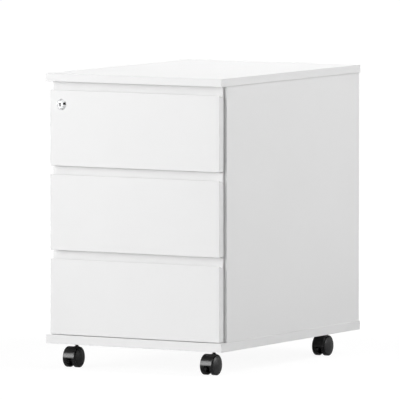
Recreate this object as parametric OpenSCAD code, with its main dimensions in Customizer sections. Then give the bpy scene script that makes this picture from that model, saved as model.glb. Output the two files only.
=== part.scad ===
// Rolling pedestal cabinet: three drawers with milled finger grips, one lock
// that holds all of them and four twin-wheel casters.
// Millimetres, +Z up, front towards -Y, origin on the floor under the middle
// of the top panel.

/* [Carcass] */
// Width of the top and base panels
body_w = 412; // [380:1:480]
// Depth of the top and base panels
body_d = 580; // [480:1:680]
// Height from the underside of the base to the top face
body_h = 550; // [500:1:680]
// Thickness of the top panel
top_t = 16; // [16:1:25]
// Thickness of the base panel
base_t = 18; // [16:1:25]
// Thickness of the side panels
side_t = 16; // [16:1:22]
// Side panels in from the ends of the top panel
side_inset = 2.5; // [0:0.5:6]
// Thickness of the back panel
back_t = 8; // [3:1:12]
// Outer face of the back panel in from the rear edges
back_inset = 10; // [5:1:30]
// Depth of the grooves that hold the back panel
back_groove = 6; // [3:0.5:8]
// Rounding of the upright corners of the top and base panels
corner_r = 1.5; // [0.5:0.5:5]

/* [Drawer fronts] */
// Thickness of a drawer front
front_t = 19; // [16:1:24]
// Ends of the fronts in from the ends of the top panel
front_inset = 8.5; // [4:0.5:12]
// Face of the fronts behind the front edge of the top panel
front_setback = 5; // [5:0.5:15]
// Gap between the fronts and the front edges of the carcass
front_gap = 1.5; // [1:0.5:4]
// Gap between the base panel and the lowest front
base_gap = 1; // [1:0.5:8]
// Height of the grip opening above the face of a front
grip_h = 17; // [14:0.5:24]
// Fall of the sloping grip floor from the face to the lip
grip_fall = 6.5; // [2:0.5:10]
// Thickness of the lip that is left behind the grip
lip_t = 4; // [3:0.5:6]
// Gap between the lip and the piece above it
lip_gap = 1.5; // [1:0.5:5]

/* [Drawer boxes] */
// Space for the runners between a side panel and a drawer box
runner_space = 12.5; // [12:0.5:16]
// Thickness of the box sides and the box back
box_t = 12; // [12:1:16]
// Lower edge of the box sides above the lower edge of the front
box_up = 20; // [16:1:30]
// Space behind the drawer boxes
box_back_gap = 38; // [20:1:120]
// Gap between the box sides and the lock nut above them
box_lock_gap = 4; // [3:0.5:20]
// Thickness of the drawer bottom
bottom_t = 4; // [3:0.5:6]
// Underside of the drawer bottom above the lower edge of the box sides
bottom_up = 8; // [6:1:14]
// Depth of the grooves that hold the drawer bottom
bottom_groove = 5; // [3:0.5:7]

/* [Runners] */
// Sheet thickness of the rails
rail_t = 1.2; // [1:0.1:1.6]
// Front end of the cabinet rails behind the front edge of the side panels
rail_setback = 26.5; // [25:0.5:60]
// Rear end of the cabinet rails behind the drawer boxes
rail_over = 8; // [2:1:15]
// Underside of the cabinet rails below the lower edge of the box sides
rail_drop = 6; // [4:0.5:10]
// Running gap between the cabinet rail and the drawer rail
rail_gap = 0.8; // [0.6:0.1:1.2]
// Diameter of the rollers
roller_d = 19; // [15:0.5:24]
// Width of the rollers
roller_w = 6; // [4:0.5:6.5]
// Diameter of the roller pins
roller_pin_d = 5; // [4:0.5:6]
// Thickness of the pin heads that keep the rollers on
pin_head_t = 0.6; // [0.4:0.1:0.8]
// Gap between a roller and the track it rolls on
roll_gap = 0.3; // [0.2:0.05:0.5]
// Front roller axle behind the front end of the cabinet rail
front_roller_in = 14; // [13:0.5:24]
// Rear roller axle in from the rear end of the box
rear_roller_in = 12; // [12:0.5:24]

/* [Lock] */
// Lock axis in from the left end of the front
lock_in = 26; // [22:0.5:29]
// Lock axis below the upper edge of the face
lock_drop = 30; // [22:0.5:40]
// Diameter of the collar where it meets the front
collar_d = 23; // [21:0.5:28]
// Diameter of the face of the collar
collar_face_d = 15; // [14.5:0.5:20]
// How far the collar stands out of the front
collar_proud = 4.8; // [3:0.1:5]
// Diameter of the lock barrel
barrel_d = 19; // [18:0.5:20]
// Diameter of the plug
plug_d = 11.5; // [10:0.5:13.5]
// Width of the key slot
slot_w = 3; // [2:0.1:3]
// Height of the key slot
slot_h = 7; // [5:0.1:7]
// Depth of the key slot
slot_l = 18; // [10:1:20]
// Width of the lock nut across its corners
nut_d = 24; // [23:0.5:28]
// Thickness of the lock nut
nut_t = 4; // [3:0.5:6]
// Thickness of the tail behind the lock
tail_t = 2.5; // [2:0.5:4]
// Eccentricity of the tail pin
tail_e = 6.4; // [6:0.1:7]
// Diameter of the tail pin
tail_pin_d = 5; // [4:0.5:5.5]

/* [Lock bar] */
// Thickness of the lock bar
bar_t = 2.4; // [2:0.1:2.6]
// Width of the lock bar
bar_w = 13; // [10:0.5:14]
// Front edge of the lock bar behind the front edge of the side panel
bar_setback = 6.5; // [5.5:0.5:9]
// Gap between the lock bar and the side panel or its guides
bar_gap = 0.2; // [0.1:0.05:0.4]
// Play of the tail pin in the fork of the bar
fork_play = 0.5; // [0.4:0.1:1]
// Thickness of the fork lugs
fork_t = 2.5; // [2:0.5:4]
// Height of a stop tab on the bar
tab_h = 5; // [4:0.5:6]
// Clearance of a stop tab below its catch ear and above the rail flange
tab_clear = 1.5; // [1:0.25:3]
// Thickness of the catch ears
ear_t = 2; // [1.5:0.5:3]
// Height of the bar guides
guide_h = 12; // [8:1:20]
// Wall of the bar guides
guide_t = 1.2; // [1:0.1:1.6]

/* [Casters] */
// Diameter of the wheels
wheel_d = 40; // [36:1:50]
// Width of a wheel's tread
wheel_w = 9.25; // [5:0.25:12]
// Bulge of a wheel's outer face
wheel_dome = 1.5; // [0.5:0.05:3]
// Rounding of a wheel's shoulders
shoulder_r = 1.2; // [0.8:0.1:2.2]
// Space between the two wheels of a caster
wheel_space = 11.5; // [10:0.5:18]
// Thickness of a wheel's disc
wheel_disc_t = 2.2; // [1.5:0.1:2.5]
// Thickness of a wheel's rim
wheel_rim_t = 3.2; // [2.5:0.1:5]
// Diameter of a wheel's hub
hub_d = 11; // [9:0.5:16]
// Diameter of the axle
axle_d = 4; // [3:0.5:5]
// Gap between a wheel and the hood
hood_gap = 1.2; // [0.4:0.05:2]
// Thickness of the hood
hood_t = 1.3; // [1:0.1:2]
// Edge of the hood in from the shoulder of the wheels
hood_in = 1.8; // [0.3:0.1:3]
// Height of the bare stem between the hood and the socket
neck_h = 3.5; // [1:0.1:6]
// Diameter of the stem
stem_d = 6; // [5:0.5:7]
// Distance of the stem behind the axle
trail = 12.4; // [11:0.1:14]
// Diameter of the socket collar
socket_d = 14; // [12:0.5:18]
// Height of the socket collar
socket_h = 4; // [3:0.5:8]
// Diameter of the socket sleeve in the base
sleeve_d = 10; // [9:0.5:11]
// Wood left above the socket sleeves
socket_cover = 5; // [3:0.5:8]
// Stems in from the ends of the base panel
caster_in = 45; // [42:1:60]
// Front stems behind the front edge of the base panel
caster_front = 48.5; // [46:0.5:80]
// Rear stems in from the rear edge of the base panel
caster_rear = 66; // [46:0.5:110]

/* [Fittings] */
// Diameter of the carcass cams
cam_d = 15; // [12:1:16]
// Depth of the carcass cams in the side panels
cam_h = 12.5; // [11:0.5:14]
// Axis of the carcass cams below the top panel
cam_drop = 24; // [20:1:34]
// Diameter of the cam bolts
bolt_d = 6; // [5:0.5:7]
// Reach of the cam bolts into the panel they hold
bolt_grip = 11; // [8:0.5:12]
// Diameter of the dowels
dowel_d = 8; // [6:1:8]
// Reach of the dowels into the top and base panels
dowel_in = 12; // [8:0.5:13]
// Reach of the dowels into the side panels
dowel_out = 18; // [12:0.5:24]
// Distance between a cam or base screw and its dowel
dowel_step = 32; // [25:1:64]
// Cams and base screws in from the ends of the side panels
joint_in = 60; // [40:1:120]
// Shank diameter of the base screws
base_screw_d = 6; // [5:0.5:7]
// Head diameter of the base screws
base_screw_head = 10; // [8:0.5:11]
// Reach of the base screws into the side panels
base_screw_grip = 32; // [20:1:45]
// Shank diameter of the rail and box screws
screw_d = 3.5; // [3:0.1:4]
// Head diameter of the rail and box screws
screw_head = 6.4; // [5.5:0.1:7]
// Reach of the rail screws into the boards
screw_grip = 9; // [6:0.5:9]
// Reach of the box screws into the box back
box_screw_grip = 22; // [14:1:30]
// Front and rear rail screws in from the ends of the rails
screw_in = 48; // [40:1:80]
// Diameter of the drawer cams
box_cam_d = 12; // [10:0.5:14]
// Wood left behind the drawer cams
box_cam_skin = 2; // [1.5:0.5:3]
// Axis of the drawer cams behind the front
box_cam_in = 24; // [18:1:34]

/* [Fits] */
// Radial clearance of turning fits
run_clear = 0.05; // [0.02:0.01:0.1]
// Clearance of boards, pegs and fittings in their seats
seat_clear = 0.1; // [0.05:0.05:0.2]
// End play of turning pieces
end_play = 0.3; // [0.2:0.05:0.4]

/* [Hidden] */
$fn = 64;
eps = 0.5;
drawers = 3;
bolt_play = 0.6;

// Heights: floor, axle, hood, base, drawers and top
axle_z = wheel_d / 2;
hood_r0 = wheel_d / 2 + hood_gap;
hood_r1 = hood_r0 + hood_t;
z_hood = axle_z + hood_r1;
z_base = z_hood + neck_h + socket_h;
z_floor = z_base + base_t;
z_top = z_base + body_h;
z_head = z_top - top_t;
pitch = (z_head - z_floor - base_gap) / drawers;
face_h = pitch - grip_h;
lip_h = pitch - lip_gap;
box_h = face_h - lock_drop - nut_d / 2 - box_lock_gap - box_up;

// Planes from front to back
y_edge = -body_d / 2;
y_end = body_d / 2;
y_face = y_edge + front_setback;
y_rear = y_face + front_t;
y_side = y_rear + front_gap;
y_back = y_end - back_inset - back_t;
y_box = y_back - box_back_gap;
y_rail0 = y_side + rail_setback;
y_rail1 = y_box + rail_over;
y_front_roller = y_rail0 + front_roller_in;
y_rear_roller = y_box - rear_roller_in;
y_bar0 = y_side + bar_setback;
y_bar1 = y_bar0 + bar_w;
y_cam = y_rear + box_cam_in;
y_nut = y_rear + nut_t;
y_tail = y_nut + end_play;
y_pin = y_bar0 + 0.7 * bar_w;

// Planes from the middle to the right
x_side = body_w / 2 - side_inset;
x_in = x_side - side_t;
x_mid = x_in + side_t / 2;
x_front = body_w / 2 - front_inset;
x_box = x_in - runner_space;
x_boxin = x_box - box_t;
x_web = x_in - rail_t;
x_wall = x_box + rail_t;
x_lip = x_wall + rail_gap;
x_bar = x_in - bar_gap - bar_t;
x_flange = x_bar - rail_gap;
roller_x1 = x_flange - 0.4;
roller_x0 = roller_x1 - roller_w;

// Section of the runners above the underside of the cabinet rail
rail_h = 2 * rail_t + 2 * roll_gap + roller_d;
rear_axle_up = rail_t + roll_gap + roller_d / 2;
flange_up = rail_h + rail_gap;
front_axle_up = flange_up - roll_gap - roller_d / 2;
roller_bay = front_roller_in + roller_d / 2 + 4;

// Heights that belong to drawer k, counted from the top drawer down
function z0(k) = z_floor + base_gap + (drawers - k) * pitch;
function z_rail(k) = z0(k) + box_up - rail_drop;
function z_flange(k) = z_rail(k) + flange_up + rail_t;
function z_tab(k) = z_flange(k) + tab_clear;
function z_ear(k) = z_tab(k) + tab_h + tab_clear;
function z_guide(k) = z0(k) + box_up + 0.7 * box_h;
function z_boxcam(k) = z0(k) + box_up + box_h / 2 + 6;

// Lock: axis, pin of the tail at rest and the lift of the bar
x_lock = -x_front + lock_in;
z_lock = z0(1) + face_h - lock_drop;
pin_x = x_lock - tail_e * sin(45);
pin_z = z_lock - tail_e * sin(45);
bar_lift = 2 * tail_e * sin(45);
fork_h = tail_pin_d + 2 * fork_play;
fork_x = pin_x + tail_pin_d / 2 + 1;
ear_h = bar_lift + 3;

// Fittings along the depth
joint_ys = [y_side + joint_in, y_back - joint_in];
dowel_ys = [y_side + joint_in + dowel_step, y_back - joint_in - dowel_step];
rail_screw_ys = [y_rail0 + screw_in, (y_rail0 + y_rail1) / 2, y_rail1 - screw_in];
box_screw_ys = [y_rear + screw_in, y_box - screw_in];
z_cam = z_head - cam_drop;
// Rail screws stop short of the drawer bottom in its groove
foot_grip = box_t - bottom_groove - 1;

// Casters: [right or left, distance of the stem along the depth]
stem_x = body_w / 2 - caster_in;
stem_y0 = y_edge + caster_front;
stem_y1 = y_end - caster_rear;
FL = [-stem_x, stem_y0];
FR = [stem_x, stem_y0];
RL = [-stem_x, stem_y1];
RR = [stem_x, stem_y1];
wheel_x0 = wheel_space / 2;
wheel_x1 = wheel_x0 + wheel_w;
hood_x = wheel_x1 - hood_in;
web_x = wheel_x0 - 0.5;
axle_x = wheel_x1 - 1;
z_sleeve = z_floor - socket_cover;

// Shapes used by several pieces

// Box between two opposite corners
module block(a, b) {
    translate(a) cube(b - a);
}

// Round bars along X, Y and Z
module bar_x(xa, xb, y, z, d) {
    translate([xa, y, z]) rotate([0, 90, 0]) cylinder(d = d, h = xb - xa);
}

module bar_y(ya, yb, x, z, d) {
    translate([x, yb, z]) rotate([90, 0, 0]) cylinder(d = d, h = yb - ya);
}

module bar_z(za, zb, x, y, d) {
    translate([x, y, za]) cylinder(d = d, h = zb - za);
}

// A right-hand shape together with its left-hand twin
module pair() {
    children();
    mirror([1, 0, 0]) children();
}

// Board lying flat, with its four upright corners rounded
module flat_board(za, zb) {
    cx = body_w / 2 - corner_r;
    cy = body_d / 2 - corner_r;
    translate([0, 0, za]) linear_extrude(zb - za) union() {
        square([body_w, 2 * cy], center = true);
        square([2 * cx, body_d], center = true);
        for (sx = [-1, 1], sy = [-1, 1]) translate([sx * cx, sy * cy]) circle(r = corner_r);
    }
}

// Countersunk screw along +X: head face at x, shank into the board behind it
module screw_x(x, y, z, head_t, reach, d, head_d) {
    translate([x, y, z]) rotate([0, 90, 0]) union() {
        cylinder(d1 = head_d, d2 = d, h = head_t);
        cylinder(d = d, h = head_t + reach);
    }
}

// Carcass: boards

module top_panel() color("white") difference() {
    flat_board(z_head, z_top);
    block([-x_in - back_groove, y_back - seat_clear, z_head - eps],
          [x_in + back_groove, y_back + back_t + seat_clear, z_head + back_groove]);
    pair() {
        for (y = joint_ys)
            bar_z(z_head - eps, z_head + bolt_grip + seat_clear, x_mid, y, bolt_d + 2 * seat_clear);
        for (y = dowel_ys)
            bar_z(z_head - eps, z_head + dowel_in + seat_clear, x_mid, y, dowel_d + 2 * seat_clear);
    }
}

module base_panel() color("white") difference() {
    flat_board(z_base, z_floor);
    block([-x_in - back_groove, y_back - seat_clear, z_floor - back_groove],
          [x_in + back_groove, y_back + back_t + seat_clear, z_floor + eps]);
    pair() {
        for (y = joint_ys) {
            bar_z(z_base - eps, z_floor + eps, x_mid, y, base_screw_d + 2 * seat_clear);
            translate([x_mid, y, z_base]) cylinder(
                d1 = base_screw_head + 2 * seat_clear, d2 = base_screw_d + 2 * seat_clear, h = 4);
        }
        for (y = dowel_ys)
            bar_z(z_floor - dowel_in - seat_clear, z_floor + eps, x_mid, y, dowel_d + 2 * seat_clear);
        for (y = [stem_y0, stem_y1])
            bar_z(z_base - eps, z_sleeve + seat_clear, stem_x, y, sleeve_d + 2 * seat_clear);
    }
}

// Right side panel with its groove, bores and pilot holes
module side_board() difference() {
    block([x_in, y_side, z_floor], [x_side, y_end, z_head]);
    block([x_in - eps, y_back - seat_clear, z_floor - eps],
          [x_in + back_groove, y_back + back_t + seat_clear, z_head + eps]);
    for (y = joint_ys) {
        bar_x(x_in - eps, x_in + cam_h + seat_clear, y, z_cam, cam_d + 2 * seat_clear);
        bar_z(z_cam, z_head + eps, x_mid, y, bolt_d + 2 * bolt_play);
        bar_z(z_floor - eps, z_floor + base_screw_grip + seat_clear,
              x_mid, y, base_screw_d + 2 * seat_clear);
    }
    for (y = dowel_ys) {
        bar_z(z_head - dowel_out - seat_clear, z_head + eps, x_mid, y, dowel_d + 2 * seat_clear);
        bar_z(z_floor - eps, z_floor + dowel_out + seat_clear, x_mid, y, dowel_d + 2 * seat_clear);
    }
    for (k = [1 : drawers], y = rail_screw_ys)
        bar_x(x_in - eps, x_in + screw_grip + seat_clear,
              y, z_rail(k) + rear_axle_up, screw_d + 2 * seat_clear);
}

module side_panel_right() color("gainsboro") side_board();

// The left panel also takes the pegs of the lock bar guides
module side_panel_left() color("gainsboro") difference() {
    mirror([1, 0, 0]) side_board();
    mirror([1, 0, 0]) guide_pegs(2 * seat_clear, seat_clear);
}

module back_panel() color("whitesmoke")
    block([-x_in - back_groove + seat_clear, y_back, z_floor - back_groove + seat_clear],
          [x_in + back_groove - seat_clear, y_back + back_t, z_head + back_groove - seat_clear]);

// Carcass: fittings

// Cam in the inner face of a side panel and the bolt it draws down
module carcass_cams() color("silver") pair() for (y = joint_ys) {
    difference() {
        bar_x(x_in, x_in + cam_h, y, z_cam, cam_d);
        bar_z(z_cam - 3 - bolt_play, z_cam + cam_d, x_mid, y, bolt_d + 2 * bolt_play);
        block([x_in - eps, y - cam_d / 3, z_cam - 0.7], [x_in + 1.2, y + cam_d / 3, z_cam + 0.7]);
    }
    bar_z(z_cam - 3, z_head + bolt_grip, x_mid, y, bolt_d);
}

module carcass_dowels() color("burlywood") pair() for (y = dowel_ys) {
    bar_z(z_head - dowel_out, z_head + dowel_in, x_mid, y, dowel_d);
    bar_z(z_floor - dowel_in, z_floor + dowel_out, x_mid, y, dowel_d);
}

module base_screws() color("silver") pair() for (y = joint_ys) difference() {
    union() {
        translate([x_mid, y, z_base]) cylinder(d1 = base_screw_head, d2 = base_screw_d, h = 4);
        bar_z(z_base, z_floor + base_screw_grip, x_mid, y, base_screw_d);
    }
    translate([x_mid, y, z_base - eps]) cylinder(d = 4.6, h = eps + 2.4, $fn = 6);
}

module runner_screws() color("silver") pair() for (k = [1 : drawers], y = rail_screw_ys)
    screw_x(x_web, y, z_rail(k) + rear_axle_up, rail_t, screw_grip, screw_d, screw_head);

// Runners: cabinet rail and its front roller

// Channel of bent sheet, open at the top over the front roller
module cabinet_rail(k) difference() {
    union() {
        block([x_web, y_rail0, z_rail(k)], [x_in, y_rail1, z_rail(k) + rail_h]);
        block([x_lip, y_rail0, z_rail(k)], [x_in, y_rail1, z_rail(k) + rail_t]);
        block([x_lip, y_rail0 + roller_bay, z_rail(k) + rail_h - rail_t],
              [x_in, y_rail1, z_rail(k) + rail_h]);
    }
    for (y = rail_screw_ys)
        translate([x_web, y, z_rail(k) + rear_axle_up]) rotate([0, 90, 0])
            cylinder(d1 = screw_head + 2 * seat_clear, d2 = screw_d + 2 * seat_clear, h = rail_t);
    bar_x(x_web - eps, x_in + eps, y_front_roller, z_rail(k) + front_axle_up, roller_pin_d);
}

// Pin riveted into the rail, with a shoulder and a head for the roller
module front_roller_pin(k) {
    bar_x(roller_x0 - end_play - pin_head_t, x_in,
          y_front_roller, z_rail(k) + front_axle_up, roller_pin_d);
    bar_x(roller_x0 - end_play - pin_head_t, roller_x0 - end_play,
          y_front_roller, z_rail(k) + front_axle_up, roller_pin_d + 3);
    bar_x(roller_x1 + end_play, x_web, y_front_roller, z_rail(k) + front_axle_up, roller_pin_d + 3);
}

module runner_rails(k) color("gainsboro") pair() {
    cabinet_rail(k);
    front_roller_pin(k);
}

// Roller with a bore for its pin
module roller(y, z) difference() {
    bar_x(roller_x0, roller_x1, y, z, roller_d);
    bar_x(roller_x0 - eps, roller_x1 + eps, y, z, roller_pin_d + 2 * run_clear);
}

module runner_rollers(k) color("ivory") pair() roller(y_front_roller, z_rail(k) + front_axle_up);

// Drawers: front

// Side view of a front: face, sloping grip floor and lip behind it
module front_profile() polygon([
    [0, 0],
    [front_t, 0],
    [front_t, lip_h],
    [front_t - lip_t, lip_h],
    [front_t - lip_t, face_h - grip_fall],
    [0, face_h]
]);

module drawer_front(k) color("white") difference() {
    translate([-x_front, y_face, z0(k)]) rotate([90, 0, 90]) linear_extrude(2 * x_front) front_profile();
    block([-x_boxin - bottom_groove, y_rear - bottom_groove, z0(k) + box_up + bottom_up - seat_clear],
          [x_boxin + bottom_groove, y_rear + eps, z0(k) + box_up + bottom_up + bottom_t + seat_clear]);
    pair() bar_y(y_rear - bolt_grip - seat_clear, y_rear + eps,
                 x_box - box_t / 2, z_boxcam(k), bolt_d + 2 * seat_clear);
    if (k == 1) bar_y(y_face - eps, y_rear + eps, x_lock, z_lock, barrel_d + 2 * seat_clear);
}

// Drawers: box

// Right box side with the groove of the bottom, cam bore and screw holes
module box_side(k) difference() {
    block([x_boxin, y_rear, z0(k) + box_up], [x_box, y_box, z0(k) + box_up + box_h]);
    block([x_boxin - eps, y_rear - eps, z0(k) + box_up + bottom_up - seat_clear],
          [x_boxin + bottom_groove, y_box + eps, z0(k) + box_up + bottom_up + bottom_t + seat_clear]);
    bar_x(x_boxin - eps, x_box - box_cam_skin + seat_clear,
          y_cam, z_boxcam(k), box_cam_d + 2 * seat_clear);
    bar_y(y_rear - eps, y_cam, x_box - box_t / 2, z_boxcam(k), bolt_d + 2 * bolt_play);
    for (y = box_screw_ys)
        bar_x(x_box - foot_grip - seat_clear, x_box + eps,
              y, z_rail(k) + rear_axle_up + 4, screw_d + 2 * seat_clear);
    for (u = [0.45, 0.85]) {
        bar_x(x_boxin - eps, x_box + eps,
              y_box - box_t / 2, z0(k) + box_up + u * box_h, screw_d + 2 * seat_clear);
        translate([x_box, y_box - box_t / 2, z0(k) + box_up + u * box_h]) rotate([0, -90, 0])
            cylinder(d1 = screw_head + 2 * seat_clear, d2 = screw_d + 2 * seat_clear, h = 2);
    }
}

module drawer_sides(k) color("whitesmoke") pair() box_side(k);

// The back stands on the bottom, between the sides
module drawer_back(k) color("whitesmoke") difference() {
    block([-x_boxin, y_box - box_t, z0(k) + box_up + bottom_up + bottom_t],
          [x_boxin, y_box, z0(k) + box_up + box_h]);
    pair() for (u = [0.45, 0.85])
        bar_x(x_boxin - box_screw_grip - seat_clear, x_boxin + eps,
              y_box - box_t / 2, z0(k) + box_up + u * box_h, screw_d + 2 * seat_clear);
}

module drawer_bottom(k) color("whitesmoke")
    block([-x_boxin - bottom_groove + seat_clear, y_rear - bottom_groove + seat_clear,
           z0(k) + box_up + bottom_up],
          [x_boxin + bottom_groove - seat_clear, y_box, z0(k) + box_up + bottom_up + bottom_t]);

// Cams and bolts that hold the front, screws of the back and of the rails
module drawer_fittings(k) color("silver") pair() {
    difference() {
        bar_x(x_boxin, x_box - box_cam_skin, y_cam, z_boxcam(k), box_cam_d);
        bar_y(y_cam - box_cam_d, y_cam + 3 + bolt_play,
              x_box - box_t / 2, z_boxcam(k), bolt_d + 2 * bolt_play);
        block([x_boxin - eps, y_cam - 0.7, z_boxcam(k) - box_cam_d / 3],
              [x_boxin + 1.2, y_cam + 0.7, z_boxcam(k) + box_cam_d / 3]);
    }
    bar_y(y_rear - bolt_grip, y_cam + 3, x_box - box_t / 2, z_boxcam(k), bolt_d);
    for (u = [0.45, 0.85])
        translate([x_box, y_box - box_t / 2, z0(k) + box_up + u * box_h]) rotate([0, 180, 0])
            screw_x(0, 0, 0, 2, box_t - 2 + box_screw_grip, screw_d, screw_head);
    for (y = box_screw_ys)
        translate([x_wall, y, z_rail(k) + rear_axle_up + 4]) rotate([0, 180, 0])
            screw_x(0, 0, 0, rail_t, foot_grip, screw_d, screw_head);
}

// Drawers: rail and its rear roller

// Bent sheet: a foot under the box side, a web and a flange that rides on the front roller
module drawer_rail(k) difference() {
    union() {
        block([x_boxin, y_rear + eps, z0(k) + box_up - rail_t], [x_wall, y_box, z0(k) + box_up]);
        block([x_box, y_rear + eps, z0(k) + box_up - rail_t], [x_wall, y_box, z_flange(k)]);
        block([x_box, y_rear + eps, z_flange(k) - rail_t], [x_flange, y_box, z_flange(k)]);
    }
    for (y = box_screw_ys)
        translate([x_wall, y, z_rail(k) + rear_axle_up + 4]) rotate([0, -90, 0])
            cylinder(d1 = screw_head + 2 * seat_clear, d2 = screw_d + 2 * seat_clear, h = rail_t);
    bar_x(x_box - eps, x_wall + eps, y_rear_roller, z_rail(k) + rear_axle_up, roller_pin_d);
}

module rear_roller_pin(k) {
    bar_x(x_box, roller_x1 + end_play + pin_head_t,
          y_rear_roller, z_rail(k) + rear_axle_up, roller_pin_d);
    bar_x(roller_x1 + end_play, roller_x1 + end_play + pin_head_t,
          y_rear_roller, z_rail(k) + rear_axle_up, roller_pin_d + 3);
    bar_x(x_wall, roller_x0 - end_play, y_rear_roller, z_rail(k) + rear_axle_up, roller_pin_d + 3);
}

// Catch on the left rail: a tongue up the box side with an ear bent out of it
module catch_ear(k) mirror([1, 0, 0]) union() {
    block([x_box, y_bar1 - tab_clear, z_flange(k) - rail_t],
          [x_wall, y_bar1 + 16, z_ear(k) + ear_h]);
    block([x_box, y_bar1 - tab_clear, z_ear(k)],
          [x_flange, y_bar1 - tab_clear + ear_t, z_ear(k) + ear_h]);
}

module drawer_rails(k) color("gainsboro") {
    drawer_rail(k);
    union() {
        mirror([1, 0, 0]) drawer_rail(k);
        catch_ear(k);
    }
    pair() rear_roller_pin(k);
}

module drawer_rollers(k) color("ivory") pair() roller(y_rear_roller, z_rail(k) + rear_axle_up);

// Lock

// Collar in front of the drawer and barrel through it, with the bore of the plug
module lock_housing() color("silver") translate([x_lock, y_face, z_lock]) rotate([90, 0, 0]) difference() {
    union() {
        cylinder(d1 = collar_d, d2 = collar_face_d, h = collar_proud);
        translate([0, 0, -front_t - nut_t]) cylinder(d = barrel_d, h = front_t + nut_t + collar_proud / 2);
    }
    translate([0, 0, -front_t - nut_t - eps]) cylinder(d = plug_d + 2 * run_clear, h = body_d);
    translate([0, 0, collar_proud - 2]) cylinder(d = plug_d + 1.6 + 2 * run_clear, h = body_d);
}

module lock_nut() color("silver") difference() {
    translate([x_lock, y_nut, z_lock]) rotate([90, 0, 0]) cylinder(d = nut_d, h = nut_t, $fn = 6);
    bar_y(y_rear - eps, y_nut + eps, x_lock, z_lock, barrel_d + 2 * seat_clear);
}

// Plug with its upright key slot
module lock_plug() color("gainsboro") difference() {
    union() {
        bar_y(y_face - collar_proud + 0.3, y_tail, x_lock, z_lock, plug_d);
        bar_y(y_face - collar_proud + 0.3, y_face - collar_proud + 2 - end_play,
              x_lock, z_lock, plug_d + 1.6);
    }
    block([x_lock - slot_w / 2, y_face - collar_proud - eps, z_lock - slot_h / 2],
          [x_lock + slot_w / 2, y_face - collar_proud + slot_l, z_lock + slot_h / 2]);
    bar_y(y_tail - 7, y_tail + eps, x_lock, z_lock, screw_d);
}

// Tail on the end of the plug, with the pin that lifts the bar, and its screw
module lock_tail() color("silver") {
    difference() {
        union() {
            bar_y(y_tail, y_tail + tail_t, x_lock, z_lock, plug_d + 1);
            bar_y(y_tail, y_tail + tail_t, pin_x, pin_z, tail_pin_d + 3);
            bar_y(y_tail, y_pin, pin_x, pin_z, tail_pin_d);
        }
        bar_y(y_tail - eps, y_tail + tail_t + eps, x_lock, z_lock, screw_d + 2 * seat_clear);
    }
    bar_y(y_tail - 7, y_tail + tail_t, x_lock, z_lock, screw_d);
    bar_y(y_tail + tail_t, y_tail + tail_t + 1.2, x_lock, z_lock, screw_head);
}

// Upright bar on the left side panel: fork for the tail pin and a tab per drawer
module lock_bar() color("silver") {
    mirror([1, 0, 0]) block([x_bar, y_bar0, z_tab(drawers) - 12],
                            [x_in - bar_gap, y_bar1, pin_z + fork_h / 2 + fork_t]);
    for (k = [1 : drawers]) mirror([1, 0, 0])
        block([x_lip + 0.7, y_bar0 + 3, z_tab(k)], [x_bar, y_bar1 - 2 * tab_clear, z_tab(k) + tab_h]);
    for (z = [pin_z - fork_h / 2 - fork_t, pin_z + fork_h / 2])
        block([-x_bar, y_bar0 + 1.5, z], [fork_x, y_bar1, z + fork_t]);
}

// Pegs of the guides on the right-hand side, for the guides and for their bores
module guide_pegs(more, deeper) for (k = [1 : drawers], y = [y_bar0 - 2.6, y_bar1 + 2.6])
    bar_x(x_in - eps, x_in + 8 + deeper, y, z_guide(k) + guide_h / 2, 3 + more);

// Bridges that hold the bar against the side panel
module lock_bar_guides() color("dimgray") mirror([1, 0, 0]) union() {
    for (k = [1 : drawers]) difference() {
        block([x_bar - bar_gap - guide_t, y_bar0 - 4.6, z_guide(k)],
              [x_in, y_bar1 + 4.6, z_guide(k) + guide_h]);
        block([x_bar - bar_gap, y_bar0 - bar_gap, z_guide(k) - eps],
              [x_in + eps, y_bar1 + bar_gap, z_guide(k) + guide_h + eps]);
    }
    guide_pegs(0, 0);
}

// Casters

// Collar under the base and sleeve in it, bored for the stem
module caster_sockets() color("silver") for (p = [FL, FR, RL, RR]) difference() {
    union() {
        bar_z(z_base - socket_h, z_base, p.x, p.y, socket_d);
        bar_z(z_base - socket_h, z_sleeve, p.x, p.y, sleeve_d);
    }
    bar_z(z_base - socket_h - eps, z_sleeve - 1.2, p.x, p.y, stem_d + 2 * run_clear);
}

// Side view of the hood: an arch over the wheels from the front round to behind the stem
module hood_arch() intersection() {
    difference() {
        circle(r = hood_r1, $fn = 128);
        circle(r = hood_r0, $fn = 128);
    }
    above_axle();
}

// Everything above the axle in front and above a rising line behind it
module above_axle() polygon([
    [-2 * hood_r1, 0],
    [0, 0],
    [2 * hood_r1, hood_r1 / 2],
    [2 * hood_r1, 2 * hood_r1],
    [-2 * hood_r1, 2 * hood_r1]
]);

// Side view of the rib between the wheels: fills the arch and rounds the axle
module hood_rib() union() {
    intersection() {
        circle(r = (hood_r0 + hood_r1) / 2, $fn = 128);
        above_axle();
    }
    circle(r = hub_d / 2);
}

module caster_hood(p) color("black") translate([p.x, p.y, 0]) difference() {
    union() {
        translate([0, -trail, axle_z]) rotate([90, 0, 90])
            linear_extrude(2 * hood_x, center = true) hood_arch();
        translate([0, -trail, axle_z]) rotate([90, 0, 90])
            linear_extrude(2 * web_x, center = true) hood_rib();
        bar_z(axle_z + 2, z_hood, 0, 0, 2 * web_x);
    }
    bar_x(-web_x - eps, web_x + eps, -trail, axle_z, axle_d);
    bar_z(axle_z + 4, z_hood + eps, 0, 0, stem_d);
}

// Stem that turns in the socket and axle of the wheels
module caster_pins(p) color("dimgray") {
    bar_z(axle_z + 4, z_sleeve - 1.2 - end_play, p.x, p.y, stem_d);
    bar_x(p.x - axle_x, p.x + axle_x, p.y - trail, axle_z, axle_d);
}

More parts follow.
